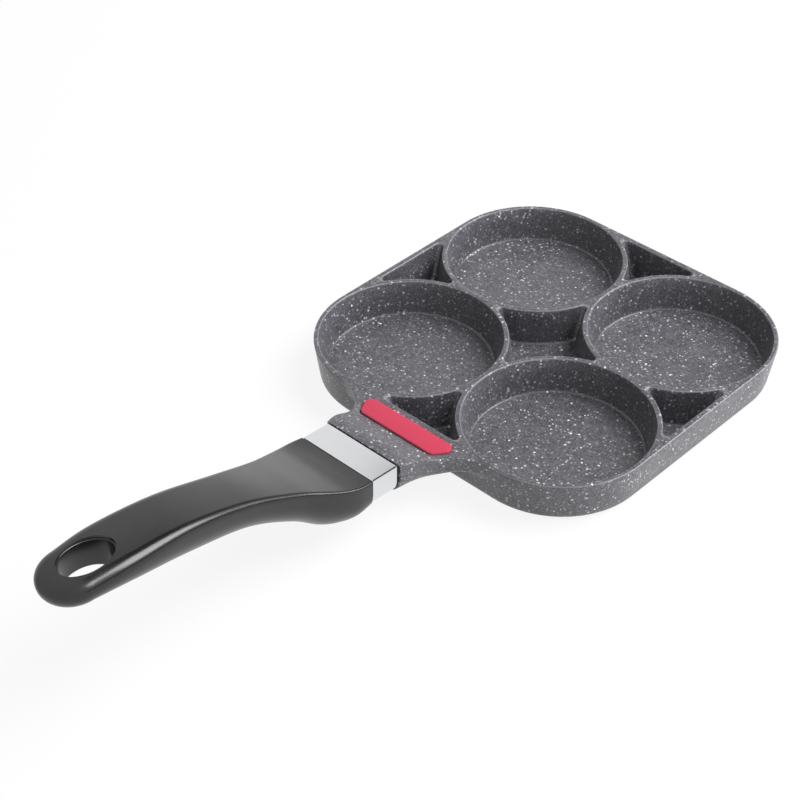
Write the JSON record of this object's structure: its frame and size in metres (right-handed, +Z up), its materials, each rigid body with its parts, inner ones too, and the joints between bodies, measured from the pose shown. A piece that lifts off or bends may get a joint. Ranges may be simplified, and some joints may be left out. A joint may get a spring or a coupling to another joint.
{
  "type": "imagawayaki pan",
  "caption": "Rounded-square cast pan with round cups side by side, a stone-speckled coating, a bracket with a red strip, a bright ferrule and a curved black handle with a hang hole.",
  "frame": {"origin": "middle of the pan's flat underside, centred on its cups", "axes": "+Z up out of the cups, -Y along the handle away from the pan, +X to the right when the handle points at the viewer"},
  "size_m": [0.1956, 0.4113, 0.0697],
  "materials": {
    "stone_coating": "cast aluminium under a dark grey stone-speckled non-stick coating, satin",
    "plate_steel": "pressed magnetic stainless steel",
    "red_silicone": "matte red silicone",
    "black_rubber": "matte black",
    "bright_steel": "polished stainless steel",
    "bakelite": "moulded black bakelite, satin",
    "fastener_steel": "zinc-plated steel"
  },
  "bodies": {
    "root": {"pan_body": "stone_coating", "base_plate": "plate_steel", "accent_strip": "red_silicone", "heat_gasket": "black_rubber", "ferrule": "bright_steel", "handle": "bakelite", "handle_screw": "fastener_steel", "flat_washer": "fastener_steel", "spring_washer": "fastener_steel", "screw_plug": "black_rubber"}
  },
  "joints": []
}
